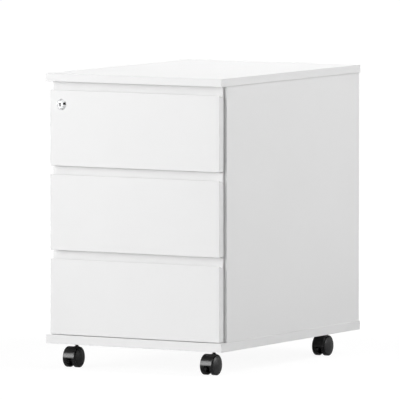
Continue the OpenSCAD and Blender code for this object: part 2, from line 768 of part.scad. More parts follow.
// Half section of a wheel: radius across, distance from the caster's middle up
module wheel_profile() difference() {
    union() {
        translate([0, wheel_x0]) square([wheel_d / 2 - shoulder_r, wheel_w]);
        translate([0, wheel_x0 + shoulder_r]) square([wheel_d / 2, wheel_w - 2 * shoulder_r]);
        for (u = [wheel_x0 + shoulder_r, wheel_x1 - shoulder_r])
            translate([wheel_d / 2 - shoulder_r, u]) circle(r = shoulder_r);
        intersection() {
            translate([0, wheel_x1 + wheel_dome - dome_r]) circle(r = dome_r, $fn = 256);
            translate([0, wheel_x1 - 0.5]) square([wheel_d / 2 - shoulder_r, wheel_dome + 1]);
        }
    }
    translate([hub_d / 2, wheel_x0 - eps])
        square([wheel_d / 2 - wheel_rim_t - hub_d / 2, wheel_w + eps - wheel_disc_t]);
    translate([0, wheel_x0 - eps]) square([axle_d / 2 + run_clear, axle_x + end_play - wheel_x0 + eps]);
}
dome_r = (pow(wheel_d / 2 - shoulder_r, 2) + pow(wheel_dome, 2)) / (2 * wheel_dome);

module caster_wheel(p, s) color("black") translate([p.x, p.y - trail, axle_z])
    rotate([0, s * 90, 0]) rotate_extrude($fn = 128) wheel_profile();

top_panel();
base_panel();
side_panel_left();
side_panel_right();
back_panel();
carcass_cams();
carcass_dowels();
base_screws();
runner_screws();
caster_sockets();
runner_rails(1);  // runner_rails_1
runner_rails(2);  // runner_rails_2
runner_rails(3);  // runner_rails_3
runner_rollers(1);  // runner_rollers_1
runner_rollers(2);  // runner_rollers_2
runner_rollers(3);  // runner_rollers_3
drawer_front(1);  // drawer_1_front
drawer_front(2);  // drawer_2_front
drawer_front(3);  // drawer_3_front
drawer_sides(1);  // drawer_1_sides
drawer_sides(2);  // drawer_2_sides
drawer_sides(3);  // drawer_3_sides
drawer_back(1);  // drawer_1_back
drawer_back(2);  // drawer_2_back
drawer_back(3);  // drawer_3_back
drawer_bottom(1);  // drawer_1_bottom
drawer_bottom(2);  // drawer_2_bottom
drawer_bottom(3);  // drawer_3_bottom
drawer_rails(1);  // drawer_1_rails
drawer_rails(2);  // drawer_2_rails
drawer_rails(3);  // drawer_3_rails
drawer_rollers(1);  // drawer_1_rollers
drawer_rollers(2);  // drawer_2_rollers
drawer_rollers(3);  // drawer_3_rollers
drawer_fittings(1);  // drawer_1_fittings
drawer_fittings(2);  // drawer_2_fittings
drawer_fittings(3);  // drawer_3_fittings
lock_housing();
lock_nut();
lock_plug();
lock_tail();
lock_bar();
lock_bar_guides();
caster_hood(FL);  // caster_fl_hood
caster_hood(FR);  // caster_fr_hood
caster_hood(RL);  // caster_rl_hood
caster_hood(RR);  // caster_rr_hood
caster_pins(FL);  // caster_fl_pins
caster_pins(FR);  // caster_fr_pins
caster_pins(RL);  // caster_rl_pins
caster_pins(RR);  // caster_rr_pins
caster_wheel(FL, -1);  // caster_fl_wheel_left
caster_wheel(FR, -1);  // caster_fr_wheel_left
caster_wheel(RL, -1);  // caster_rl_wheel_left
caster_wheel(RR, -1);  // caster_rr_wheel_left
caster_wheel(FL, 1);  // caster_fl_wheel_right
caster_wheel(FR, 1);  // caster_fr_wheel_right
caster_wheel(RL, 1);  // caster_rl_wheel_right
caster_wheel(RR, 1);  // caster_rr_wheel_right
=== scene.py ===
import bpy
import numpy as np
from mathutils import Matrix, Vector


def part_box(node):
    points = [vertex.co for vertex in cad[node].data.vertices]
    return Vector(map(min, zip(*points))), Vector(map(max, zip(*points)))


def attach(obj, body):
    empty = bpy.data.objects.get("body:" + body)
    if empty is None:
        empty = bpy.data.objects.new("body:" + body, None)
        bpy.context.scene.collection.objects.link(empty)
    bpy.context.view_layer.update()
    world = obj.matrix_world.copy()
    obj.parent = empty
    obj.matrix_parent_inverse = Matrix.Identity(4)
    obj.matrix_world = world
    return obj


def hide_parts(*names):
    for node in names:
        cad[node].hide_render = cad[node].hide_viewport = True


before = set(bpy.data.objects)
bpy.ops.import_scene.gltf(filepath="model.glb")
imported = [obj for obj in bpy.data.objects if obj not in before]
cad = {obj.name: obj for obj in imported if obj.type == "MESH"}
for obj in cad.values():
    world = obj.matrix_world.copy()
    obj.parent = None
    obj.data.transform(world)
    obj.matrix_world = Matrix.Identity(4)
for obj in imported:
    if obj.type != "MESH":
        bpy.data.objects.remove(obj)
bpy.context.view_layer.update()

# Top panel
# A 16 mm chipboard faced on both sides with white melamine; its four edges are banded with plastic
# that is trimmed to a small radius. Cams in the side panels draw it down, so its face is plain.
MM_PER_M = 1000
NEARLY_NONE = 1e-6

# Where the three axes of a shape (across, up, along) lie for each way that it can face
FACING = {
    "+x": [[0, 1, 0], [0, 0, 1], [1, 0, 0]],
    "-x": [[0, 0, 1], [0, 1, 0], [-1, 0, 0]],
    "+y": [[0, 0, 1], [1, 0, 0], [0, 1, 0]],
    "-y": [[1, 0, 0], [0, 0, 1], [0, -1, 0]],
    "+z": [[1, 0, 0], [0, 1, 0], [0, 0, 1]],
    "-z": [[0, 1, 0], [1, 0, 0], [0, 0, -1]],
}


def outline(corners, radii, closed=True, steps=6):
    """Line through corners with an arc at each: the arc leaves the run before the corner at
    radius * tan(turn / 2) from it and turns evenly about its centre on to the next run.
    Gives the points and the normals on their right, which is outside when corners run anticlockwise."""
    p = np.asarray(corners, float)
    r = np.broadcast_to(np.asarray(radii, float), len(p)).copy()
    if closed:
        ahead = np.roll(p, -1, 0)
        if (p[:, 0] * ahead[:, 1] - ahead[:, 0] * p[:, 1]).sum() < 0:
            p, r = p[::-1], r[::-1]
    run = np.diff(np.vstack([p, p[:1]]), axis=0)
    if not closed:
        run[-1] = run[-2]
        r[[0, -1]] = 0
    run /= np.linalg.norm(run, axis=1, keepdims=True)
    before = np.roll(run, 1, 0)
    if not closed:
        before[0] = run[0]
    turn = np.arctan2(before[:, 0] * run[:, 1] - before[:, 1] * run[:, 0], (before * run).sum(1))
    right = np.stack([before[:, 1], -before[:, 0]], 1)
    swing = r * np.sign(turn)
    centre = p - before * (r * np.tan(np.abs(turn) / 2))[:, None] - right * swing[:, None]
    angle = np.linspace(0, 1, steps) * turn[:, None]
    c, s = np.cos(angle), np.sin(angle)
    normal = np.stack([right[:, :1] * c - right[:, 1:] * s, right[:, :1] * s + right[:, 1:] * c], -1)
    points = centre[:, None] + normal * swing[:, None, None]
    if not closed:
        keep = np.ones(angle.shape, bool)
        keep[[0, -1], 1:] = False
        return points[keep], normal[keep]
    return points.reshape(-1, 2), normal.reshape(-1, 2)


def rings(grid, normals, facing, origin, looped=False, band=None):
    """Surface of rings that each close on themselves: quads join neighbouring rings, and the end
    rings are closed by one flat face each, unless the rings loop round to the first.
    Gives points, normals, groups of faces and the band value of each point."""
    count, around = grid.shape[:2]
    index = np.arange(count * around).reshape(count, around)
    beside = np.roll(index, -1, 1)
    quads = np.stack([index, beside, np.roll(beside, -1, 0), np.roll(index, -1, 0)], -1)
    if looped:
        faces = [quads.reshape(-1, 4)]
    else:
        faces = [quads[:-1].reshape(-1, 4), index[:1, ::-1], index[-1:]]
    if band is None:
        band = np.zeros((count, around))
    turn = np.array(FACING[facing], float)
    return grid.reshape(-1, 3) @ turn + origin, normals.reshape(-1, 3) @ turn, faces, band.ravel()


def board(line, lo, hi, edge, facing="+z", origin=(0, 0, 0), stations=0, rim_rings=5):
    """Outline carried from lo to hi with rounded rims: ring t of a rim is the outline drawn in by
    edge * (1 - sin t) at the level edge * (1 - cos t), with t from 0 to 90 degrees.
    The band value is 0 on the flat ends and 1 on all that lies between them."""
    points, normal = line
    t = np.linspace(0, np.pi / 2, rim_rings)
    between = np.linspace(lo + edge, hi - edge, stations + 2)[1:-1]
    level = np.r_[lo + edge * (1 - np.cos(t)), between, hi - edge * (1 - np.cos(t[::-1]))]
    side = np.r_[np.sin(t), np.ones(stations), np.sin(t[::-1])]
    tilt = np.r_[-np.cos(t), np.zeros(stations), np.cos(t[::-1])]
    grid = np.empty((len(level), len(points), 3))
    grid[..., :2] = points - normal * (edge * (1 - side))[:, None, None]
    grid[..., 2] = level[:, None]
    normals = np.empty_like(grid)
    normals[..., :2] = normal * side[:, None, None]
    normals[..., 2] = tilt[:, None]
    band = np.broadcast_to((side > NEARLY_NONE)[:, None], grid.shape[:2]).astype(float)
    return rings(grid, normals, facing, np.array(origin, float), band=band)


def solid(name, parts, material):
    """Joins surfaces, in millimetres, into one object at the origin, in metres. A zero normal leaves
    that point to Blender's own smoothing."""
    first = np.cumsum([0] + [len(part[0]) for part in parts])
    points = np.concatenate([part[0] for part in parts]) / MM_PER_M
    faces = [face for part, at in zip(parts, first) for group in part[2] for face in (group + at).tolist()]
    mesh = bpy.data.meshes.new(name)
    mesh.from_pydata(points.tolist(), [], faces)
    mesh.attributes.new("band", "FLOAT", "POINT").data.foreach_set(
        "value", np.concatenate([part[3] for part in parts]))
    mesh.shade_smooth()
    mesh.normals_split_custom_set_from_vertices(np.concatenate([part[1] for part in parts]).tolist())
    mesh.materials.append(material)
    piece = bpy.data.objects.new(name, mesh)
    bpy.context.scene.collection.objects.link(piece)
    return piece


def extent(name):
    """Lowest and highest corner of a CAD node in millimetres."""
    return [np.array(corner) * MM_PER_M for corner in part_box(name)]


def oblong(lo, hi):
    """Corners of a rectangle, anticlockwise."""
    return [(lo[0], lo[1]), (hi[0], lo[1]), (hi[0], hi[1]), (lo[0], hi[1])]


def linear(code):
    """sRGB hex colour as linear RGBA: a straight foot below 0.04045, a power of 2.4 above it."""
    v = np.array([int(code[i:i + 2], 16) for i in (1, 3, 5)]) / 255
    return (*np.where(v <= 0.04045, v / 12.92, ((v + 0.055) / 1.055) ** 2.4), 1.0)


def add(tree, kind, inputs=None, **settings):
    """Adds a node: settings are its properties, inputs its sockets' values or the sockets that feed them."""
    made = tree.nodes.new(kind)
    for key, value in settings.items():
        setattr(made, key, value)
    for key, value in (inputs or {}).items():
        if isinstance(value, bpy.types.NodeSocket):
            tree.links.new(value, made.inputs[key])
        else:
            made.inputs[key].default_value = value
    return made


def new_finish(name):
    """A material with only its shader and output: gives the material, its tree and the shader."""
    material = bpy.data.materials.new(name)
    material.use_nodes = True
    tree = material.node_tree
    tree.nodes.clear()
    shader = add(tree, "ShaderNodeBsdfPrincipled")
    add(tree, "ShaderNodeOutputMaterial", {"Surface": shader.outputs[0]})
    return material, tree, shader


# A mix node's colour sockets by number, because its sockets for numbers have the same names
MIX, A, B, MIXED = 0, 6, 7, 2

# White melamine: resin-soaked paper pressed against a pearl-textured plate. A neutral white whose satin
# sheen breaks up over grains of about 0.5 mm, drawn 1.2 mm wide so that they show. The plastic band on
# the edges is a touch smoother, and its glue line is a hair darker.
melamine, tree, shader = new_finish("pearl_white_melamine")
place = add(tree, "ShaderNodeTexCoord").outputs["Object"]
grain = add(tree, "ShaderNodeTexNoise", {"Vector": place, "Scale": MM_PER_M / 1.2, "Detail": 3.0})
cloud = add(tree, "ShaderNodeTexNoise", {"Vector": place, "Scale": MM_PER_M / 140, "Detail": 2.0})
band = add(tree, "ShaderNodeAttribute", attribute_name="band")
tone = add(tree, "ShaderNodeMix", {MIX: cloud.outputs[0], A: linear("#F3F3F3"), B: linear("#F0F0F0")},
           data_type="RGBA")
glue = add(tree, "ShaderNodeValToRGB", {"Fac": band.outputs["Fac"]})
glue.color_ramp.elements[0].color = (1, 1, 1, 1)
glue.color_ramp.elements[1].color = (0.985, 0.985, 0.985, 1)
seam = glue.color_ramp.elements.new(0.5)
seam.color = (0.95, 0.95, 0.95, 1)
white = add(tree, "ShaderNodeMix", {MIX: 1.0, A: tone.outputs[MIXED], B: glue.outputs[0]},
            data_type="RGBA", blend_type="MULTIPLY")
sheen = add(tree, "ShaderNodeMapRange", {"Value": grain.outputs[0], "To Min": 0.40, "To Max": 0.50})
satin = add(tree, "ShaderNodeMath", {0: band.outputs["Fac"], 1: -0.08, 2: sheen.outputs[0]},
            operation="MULTIPLY_ADD")
pearl = add(tree, "ShaderNodeBump", {"Strength": 0.2, "Distance": 0.00004, "Height": grain.outputs[0]})
tree.links.new(white.outputs[MIXED], shader.inputs["Base Color"])
tree.links.new(satin.outputs[0], shader.inputs["Roughness"])
tree.links.new(pearl.outputs[0], shader.inputs["Normal"])

CORNER = 1.0
BAND_EDGE = 0.5

lo, hi = extent("top_panel")
top = solid("top_board", [board(outline(oblong(lo, hi), CORNER), lo[2], hi[2], BAND_EDGE)], melamine)
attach(top, "carcass")
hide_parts("top_panel")

# Base panel
# An 18 mm board like the top. The side panels stand on it, held by screws from below, and it carries
# the sockets of the casters.
lo, hi = extent("base_panel")
base = solid("base_board", [board(outline(oblong(lo, hi), CORNER), lo[2], hi[2], BAND_EDGE)], melamine)
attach(base, "carcass")
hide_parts("base_panel")

# Side panels
# 16 mm boards of the same melamine, banded in front and behind. A groove near the rear edge takes the
# back panel. They are cut square where they meet the top and the base.
GROOVE, GROOVE_PLAY, GROOVE_R = 6, 0.1, 0.3
BANDED_R, SAWN_EDGE = 0.8, 0.2
SIDE_R = [BANDED_R] * 2 + [GROOVE_R] * 4 + [BANDED_R] * 2

back_lo, back_hi = extent("back_panel")
groove_front, groove_rear = back_lo[1] - GROOVE_PLAY, back_hi[1] + GROOVE_PLAY
for name, inward in (("left", 1), ("right", -1)):
    lo, hi = extent(f"side_panel_{name}")
    outer, inner = (lo[0], hi[0]) if inward > 0 else (hi[0], lo[0])
    deep = inner - inward * GROOVE
    corners = [(outer, lo[1]), (inner, lo[1]), (inner, groove_front), (deep, groove_front),
               (deep, groove_rear), (inner, groove_rear), (inner, hi[1]), (outer, hi[1])]
    side = solid(f"side_board_{name}", [board(outline(corners, SIDE_R), lo[2], hi[2], SAWN_EDGE)], melamine)
    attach(side, "carcass")
    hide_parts(f"side_panel_{name}")

# Back panel
# An 8 mm board of the same melamine, sawn on all four edges. It stands in the grooves of the side panels,
# and in the top and the base, without a fastener of its own, and keeps the case square.
BACK_CORNER, BACK_EDGE = 0.5, 0.3

line = outline(oblong(back_lo[[2, 0]], back_hi[[2, 0]]), BACK_CORNER)
back = solid("back_board", [board(line, back_lo[1], back_hi[1], BACK_EDGE, "+y")], melamine)
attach(back, "carcass")
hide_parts("back_panel")

# Case fittings
# Die-cast cams in the side panels turn on bolts in the top, screws hold the base, and beech dowels keep
# the joints in line. The fittings are zinc plated and stand a quarter of a millimetre out of the boards.

# Bright zinc plating: rolled steel under a thin crystalline coat, a cool grey metal with a soft, uneven
# gloss that breaks up over crystals of 1.5 mm.
zinc, tree, shader = new_finish("bright_zinc_plating")
place = add(tree, "ShaderNodeTexCoord").outputs["Object"]
spangle = add(tree, "ShaderNodeTexVoronoi", {"Vector": place, "Scale": MM_PER_M / 1.5})
haze = add(tree, "ShaderNodeTexNoise", {"Vector": place, "Scale": MM_PER_M / 6, "Detail": 4.0})
cool = add(tree, "ShaderNodeMix", {MIX: haze.outputs[0], A: linear("#C9CCCF"), B: linear("#B2B5B8")},
           data_type="RGBA")
uneven = add(tree, "ShaderNodeMapRange",
             {"Value": spangle.outputs["Distance"], "To Min": 0.24, "To Max": 0.38})
shader.inputs["Metallic"].default_value = 1.0
tree.links.new(cool.outputs[MIXED], shader.inputs["Base Color"])
tree.links.new(uneven.outputs[0], shader.inputs["Roughness"])


def turned(line, facing, origin, steps, looped=False):
    """Profile of (radius, height) turned about its axis: point j of a ring is the profile's point at the
    angle 360 * j / steps. A profile that starts or ends on the axis is closed there by a flat face."""
    points, normal = line
    off_axis = points[:, 0] > NEARLY_NONE
    points, normal = points[off_axis], normal[off_axis]
    angle = 2 * np.pi * np.arange(steps) / steps
    spread = np.stack([np.cos(angle), np.sin(angle), np.ones(steps)], -1)
    grid = points[:, None, [0, 0, 1]] * spread
    return rings(grid, normal[:, None, [0, 0, 1]] * spread, facing, np.array(origin, float), looped)


def fastener(facing, origin, head_d, recess, depth, shank_d, reach, cone=2.0, proud=0.25, rim=0.15):
    """Countersunk fastener with a slightly domed head. The head is a polar grid whose height is the dome
    proud * (1 - (r / R)^2), less depth where recess(across, up), from 0 to 1, says that the bit goes."""
    steps, head_rings, centre = 40, 14, 0.05
    shank = outline([(0, -reach), (shank_d / 2, -reach), (shank_d / 2, -cone), (head_d / 2, -rim),
                     (head_d / 2, 0)], [0, 0.3, 0.2, 0.1, 0], closed=False, steps=3)
    lower = turned(shank, facing, origin, steps)
    angle = 2 * np.pi * np.arange(steps) / steps
    radius = head_d / 2 * np.linspace(1, centre, head_rings)[1:, None]
    across, up = radius * np.cos(angle), radius * np.sin(angle)
    height = proud * (1 - (2 * radius / head_d) ** 2) - depth * recess(across, up)
    grid = np.stack([across, up, height], -1)
    points, normals, faces, plain = rings(grid, np.zeros_like(grid), facing, np.array(origin, float))
    first = len(lower[0])
    start = first + np.arange(steps)
    last = start - steps
    seam = np.stack([last, np.roll(last, -1), np.roll(start, -1), start], -1)
    return (np.concatenate([lower[0], points]), np.concatenate([lower[1], normals]),
            [lower[2][0], lower[2][1], seam, faces[0] + first, faces[2] + first],
            np.concatenate([lower[3], plain]))


def within(distance, half, flank):
    """1 where the distance is less than half, 0 where it is more, and a straight ramp as wide as flank
    between them."""
    return np.clip((half - distance) / flank + 0.5, 0, 1)


def cross(across, up):
    """Cross recess, two bars 0.9 mm wide and 3.4 mm long: a point is in it where its smaller coordinate is
    within half the width and its larger one within half the length."""
    narrow, far = np.minimum(abs(across), abs(up)), np.maximum(abs(across), abs(up))
    return within(narrow, 0.45, 0.25) * within(far, 1.7, 0.4)


def hexagon(across, up):
    """Hexagon recess, 4 mm across flats: the farthest of a point's distances along three directions 60
    degrees apart is within half of that."""
    turn = np.radians([0, 60, 120])[:, None, None]
    return within(abs(across * np.cos(turn) + up * np.sin(turn)).max(0), 2.0, 0.2)


def slot_cut(across, up):
    """One driver slot, 1.4 mm wide and 9.2 mm long: both coordinates are within half of these."""
    return within(abs(across), 0.7, 0.2) * within(abs(up), 4.6, 0.4)


CAM = {"head_d": 15, "recess": slot_cut, "depth": 1.2, "shank_d": 14.6, "reach": 12.5, "cone": 0.5}
BASE_SCREW = {"head_d": 10, "recess": hexagon, "depth": 2.2, "shank_d": 6, "reach": 50, "cone": 4.0}
CAM_DROP, BOLT_R, BOLT_Z, BOLT_END_R = 24, 3, (-3, 35), 0.4
JOINT_Y = (-204.5, 212)
# The right and the left: sign of x, and the way that faces into the cabinet
INWARD = ((1, "-x"), (-1, "+x"))

lo, hi = extent("side_panel_right")
X_INNER, X_MIDDLE = lo[0], (lo[0] + hi[0]) / 2
cam_z = extent("top_panel")[0][2] - CAM_DROP
base_z = extent("base_panel")[0][2]

cams = [fastener(facing, (sign * X_INNER, y, cam_z), **CAM) for sign, facing in INWARD for y in JOINT_Y]
low, high = BOLT_Z
bolt = outline([(0, low), (BOLT_R, low), (BOLT_R, high), (0, high)], BOLT_END_R, closed=False, steps=3)
bolts = [turned(bolt, "+z", (sign * X_MIDDLE, y, cam_z), steps=24) for sign in (-1, 1) for y in JOINT_Y]
case_cams = solid("case_cams", cams + bolts, zinc)
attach(case_cams, "carcass")
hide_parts("carcass_cams")

screws = [fastener("-z", (sign * X_MIDDLE, y, base_z), **BASE_SCREW) for sign in (-1, 1) for y in JOINT_Y]
case_screws = solid("case_screws", screws, zinc)
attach(case_screws, "carcass")
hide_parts("base_screws")

# Beech: pale pinkish wood, turned across fine grain of 0.8 mm that runs along the dowel.
beech, tree, shader = new_finish("turned_beech")
place = add(tree, "ShaderNodeTexCoord").outputs["Object"]
long_way = add(tree, "ShaderNodeMapping", {"Vector": place, "Scale": (1.0, 1.0, 0.08)})
fibre = add(tree, "ShaderNodeTexNoise",
            {"Vector": long_way.outputs[0], "Scale": MM_PER_M / 0.8, "Detail": 4.0})
wood = add(tree, "ShaderNodeMix", {MIX: fibre.outputs[0], A: linear("#DDBB91"), B: linear("#C59D70")},
           data_type="RGBA")
shader.inputs["Roughness"].default_value = 0.6
tree.links.new(wood.outputs[MIXED], shader.inputs["Base Color"])
for slot in cad["carcass_dowels"].material_slots:
    slot.material = beech

# Cabinet rails
# White powder-coated channels of 1.2 mm sheet, screwed to the side panels. A riveted pin near the front
# carries the white plastic roller that the drawer runs on, and the channel is open above it.

# Powder coat: baked polyester on steel, a warm white with a faint orange peel of about 2 mm.
powder, tree, shader = new_finish("white_powder_coat")
place = add(tree, "ShaderNodeTexCoord").outputs["Object"]
peel = add(tree, "ShaderNodeTexNoise", {"Vector": place, "Scale": MM_PER_M / 2, "Detail": 1.0})
rub = add(tree, "ShaderNodeTexNoise", {"Vector": place, "Scale": MM_PER_M / 18, "Detail": 4.0})
warm = add(tree, "ShaderNodeMix", {MIX: rub.outputs[0], A: linear("#ECECE9"), B: linear("#E6E6E2")},
           data_type="RGBA")
worn = add(tree, "ShaderNodeMapRange", {"Value": rub.outputs[0], "To Min": 0.28, "To Max": 0.42})
wavy = add(tree, "ShaderNodeBump", {"Strength": 0.3, "Distance": 0.00008, "Height": peel.outputs[0]})
tree.links.new(warm.outputs[MIXED], shader.inputs["Base Color"])
tree.links.new(worn.outputs[0], shader.inputs["Roughness"])
tree.links.new(wavy.outputs[0], shader.inputs["Normal"])

# White acetal: moulded, slightly translucent looking, with a soft sheen and faint flow marks of 5 mm.
acetal, tree, shader = new_finish("white_acetal")
place = add(tree, "ShaderNodeTexCoord").outputs["Object"]
flow = add(tree, "ShaderNodeTexNoise", {"Vector": place, "Scale": MM_PER_M / 5, "Detail": 2.0})
milky = add(tree, "ShaderNodeMix", {MIX: flow.outputs[0], A: linear("#E9E8E3"), B: linear("#DFDED8")},
            data_type="RGBA")
soft = add(tree, "ShaderNodeMapRange", {"Value": flow.outputs[0], "To Min": 0.32, "To Max": 0.44})
tree.links.new(milky.outputs[MIXED], shader.inputs["Base Color"])
tree.links.new(soft.outputs[0], shader.inputs["Roughness"])

DRAWER_Z = {k: extent(f"drawer_{k}_front")[0][2] for k in (1, 2, 3)}
RAIL_Y, BAY = (-238, 242), 27.5
BAY_Y = RAIL_Y[0] + BAY
RAIL_FOOT, RAIL_HEAD = 14, 36
SHEET, SHEET_EDGE = 1.2, 0.2
X_LIP, X_WEB = 177.0, X_INNER - SHEET
# Radii of bent sheet: at a cut edge, outside a bend and inside it
CUT_R, BEND_R, FOLD_R = 0.4, 1.6, 0.5
ANGLE_R = [CUT_R, BEND_R, CUT_R, CUT_R, FOLD_R, CUT_R]
CHANNEL_R = [CUT_R, BEND_R, BEND_R, CUT_R, CUT_R, FOLD_R, FOLD_R, CUT_R]
FRONT_ROLLER_Y, FRONT_ROLLER_Z = -224, 27
FRONT_PIN_X = (176.8, 186.4)
RAIL_SCREW = {"head_d": 6.4, "recess": cross, "depth": 1.0, "shank_d": 3.5, "reach": 10.2, "cone": 1.2}
RAIL_SCREW_Y, RAIL_SCREW_Z = (-190, 2, 194), 25


def both_hands(section):
    """A section of (height, x) on the right of the cabinet, and the same mirrored to the left."""
    return [section, [(z, -x) for z, x in section]]


def roller_pair(y, z):
    """A right and a left roller: a ring of bore to tread radius, both faces sunk between hub and rim."""
    x0, x1 = 177.7, 183.7
    bore, hub, rim, tread = 2.55, 4.4, 7.7, 9.5
    sunk, draft = 0.8, 0.4
    ring = outline([(bore, x0), (hub, x0), (hub + draft, x0 + sunk), (rim - draft, x0 + sunk), (rim, x0),
                    (tread, x0), (tread, x1), (rim, x1), (rim - draft, x1 - sunk), (hub + draft, x1 - sunk),
                    (hub, x1), (bore, x1)],
                   [0.2, 0.2, 0.2, 0.2, 0.3, 0.9, 0.9, 0.3, 0.2, 0.2, 0.2, 0.2], steps=4)
    return [turned(ring, facing, (0, y, z), steps=64, looped=True) for facing in ("+x", "-x")]


def pin_pair(ends, y, z):
    """A right and a left pin between two heads: its thin part carries the roller."""
    pin, head, thin = 2.5, 4, (177.4, 184)
    line = outline([(0, ends[0]), (head, ends[0]), (head, thin[0]), (pin, thin[0]), (pin, thin[1]),
                    (head, thin[1]), (head, ends[1]), (0, ends[1])],
                   [0, 0.12, 0.12, 0.1, 0.1, 0.2, 0.2, 0], closed=False, steps=3)
    return [turned(line, facing, (0, y, z), steps=40) for facing in ("+x", "-x")]


for k, z0 in DRAWER_Z.items():
    foot, head = z0 + RAIL_FOOT, z0 + RAIL_HEAD
    angle = [(foot, X_LIP), (foot, X_INNER), (head, X_INNER), (head, X_WEB),
             (foot + SHEET, X_WEB), (foot + SHEET, X_LIP)]
    channel = [(foot, X_LIP), (foot, X_INNER), (head, X_INNER), (head, X_LIP), (head - SHEET, X_LIP),
               (head - SHEET, X_WEB), (foot + SHEET, X_WEB), (foot + SHEET, X_LIP)]
    parts = [board(outline(section, ANGLE_R), RAIL_Y[0], BAY_Y, SHEET_EDGE, "+y")
             for section in both_hands(angle)]
    parts += [board(outline(section, CHANNEL_R), BAY_Y, RAIL_Y[1], SHEET_EDGE, "+y")
              for section in both_hands(channel)]
    parts += pin_pair(FRONT_PIN_X, FRONT_ROLLER_Y, z0 + FRONT_ROLLER_Z)
    rails = solid(f"cabinet_rails_{k}", parts, powder)
    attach(rails, "carcass")
    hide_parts(f"runner_rails_{k}")

    rollers = solid(f"cabinet_rollers_{k}", roller_pair(FRONT_ROLLER_Y, z0 + FRONT_ROLLER_Z), acetal)
    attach(rollers, f"runner_rollers_{k}")
    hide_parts(f"runner_rollers_{k}")

screws = [fastener(facing, (sign * X_WEB, y, z0 + RAIL_SCREW_Z), **RAIL_SCREW)
          for z0 in DRAWER_Z.values() for y in RAIL_SCREW_Y for sign, facing in INWARD]
rail_screws = solid("rail_screws", screws, zinc)
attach(rail_screws, "carcass")
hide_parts("runner_screws")

# Drawers
# The front is one 19 mm board with a grip milled along its top: a floor that falls away behind the face
# and a thin lip that is left standing. Box sides, back and bottom are thinner foil-wrapped boards, held to
# the front by cams, and a bent rail is screwed under each side.

# White foil on chipboard: paper printed white and rolled on, duller than melamine, with faint roller lines
# 1.5 mm apart.
foil, tree, shader = new_finish("white_foil_board")
place = add(tree, "ShaderNodeTexCoord").outputs["Object"]
rolled = add(tree, "ShaderNodeMapping", {"Vector": place, "Scale": (1.0, 0.06, 1.0)})
lines = add(tree, "ShaderNodeTexNoise",
            {"Vector": rolled.outputs[0], "Scale": MM_PER_M / 1.5, "Detail": 2.0})
cloud = add(tree, "ShaderNodeTexNoise", {"Vector": place, "Scale": MM_PER_M / 60, "Detail": 3.0})
paper = add(tree, "ShaderNodeMix", {MIX: cloud.outputs[0], A: linear("#ECECEA"), B: linear("#E7E7E4")},
            data_type="RGBA")
dull = add(tree, "ShaderNodeMapRange", {"Value": lines.outputs[0], "To Min": 0.48, "To Max": 0.6})
ribbed = add(tree, "ShaderNodeBump", {"Strength": 0.2, "Distance": 0.00003, "Height": lines.outputs[0]})
tree.links.new(paper.outputs[MIXED], shader.inputs["Base Color"])
tree.links.new(dull.outputs[0], shader.inputs["Roughness"])
tree.links.new(ribbed.outputs[0], shader.inputs["Normal"])

front_lo, front_hi = extent("drawer_1_front")
X_FRONT, Y_FACE, Y_REAR = front_hi[0], front_lo[1], front_hi[1]
FRONT_T, LIP_T = Y_REAR - Y_FACE, 4
LIP_Z, LIP_RISE, GRIP_FALL = front_hi[2] - front_lo[2], 15.5, 6.5
GRIP_Y, FACE_Z = FRONT_T - LIP_T, LIP_Z - LIP_RISE
GRIP = [(0, 0), (FRONT_T, 0), (FRONT_T, LIP_Z), (GRIP_Y, LIP_Z), (GRIP_Y, FACE_Z - GRIP_FALL), (0, FACE_Z)]
GRIP_R = [0.6, 0.6, 0.8, 0.8, 2.0, 0.9]

X_BOX, Y_BOX = extent("drawer_1_sides")[1][:2]
BOX_T, BOX_FOOT, BOX_EDGE = 12, 20, 0.3
X_BOXIN = X_BOX - BOX_T
BOTTOM_IN, BOTTOM_R = 5, 0.5
WRAP_R, SAWN_R, SLIT_R, TOP_R = 0.6, 0.3, 0.4, 1.5
BOX_R = [WRAP_R] * 2 + [TOP_R] * 2 + [SLIT_R] * 4
BOX_BACK_R = [SAWN_R] * 2 + [TOP_R] * 2

FLANGE_X, FLANGE_Z = 184.1, 38
RAIL_START, SNUG_R = 0.5, 0.3
BENT_R = [CUT_R, BEND_R, FOLD_R, CUT_R, CUT_R, BEND_R, SNUG_R, CUT_R]
EAR_Y, EAR_Z, EAR_T, EAR_BEND_R = (-246.5, -229), 46, 2, 1.4
EAR_R = [CUT_R, EAR_BEND_R, SNUG_R, SNUG_R, FOLD_R, CUT_R]
REAR_ROLLER_Y, REAR_ROLLER_Z = 222, 25
REAR_PIN_X = (175, 184.6)

BOX_CAM = {"head_d": 12, "recess": slot_cut, "depth": 1.2, "shank_d": 11.6, "reach": 10, "cone": 0.5}
BACK_SCREW = {"head_d": 6.4, "recess": cross, "depth": 1.0, "shank_d": 3.5, "reach": 34}
BENT_SCREW = {"head_d": 6.4, "recess": cross, "depth": 1.0, "shank_d": 3.5, "reach": 7.2, "cone": 1.2}
BOX_CAM_Y, BOX_CAM_UP = -242, 6
ROD_R, ROD_Y, ROD_IN = 3, (-277, -239), 6
# Each screw of the box back: its height as an offset and a share of the box side's upper edge
BACK_SCREW_IN, BACK_SCREW_Z = 6, ((11, 0.45), (3, 0.85))
BENT_SCREW_Y, BENT_SCREW_Z = (-218, 186), 29

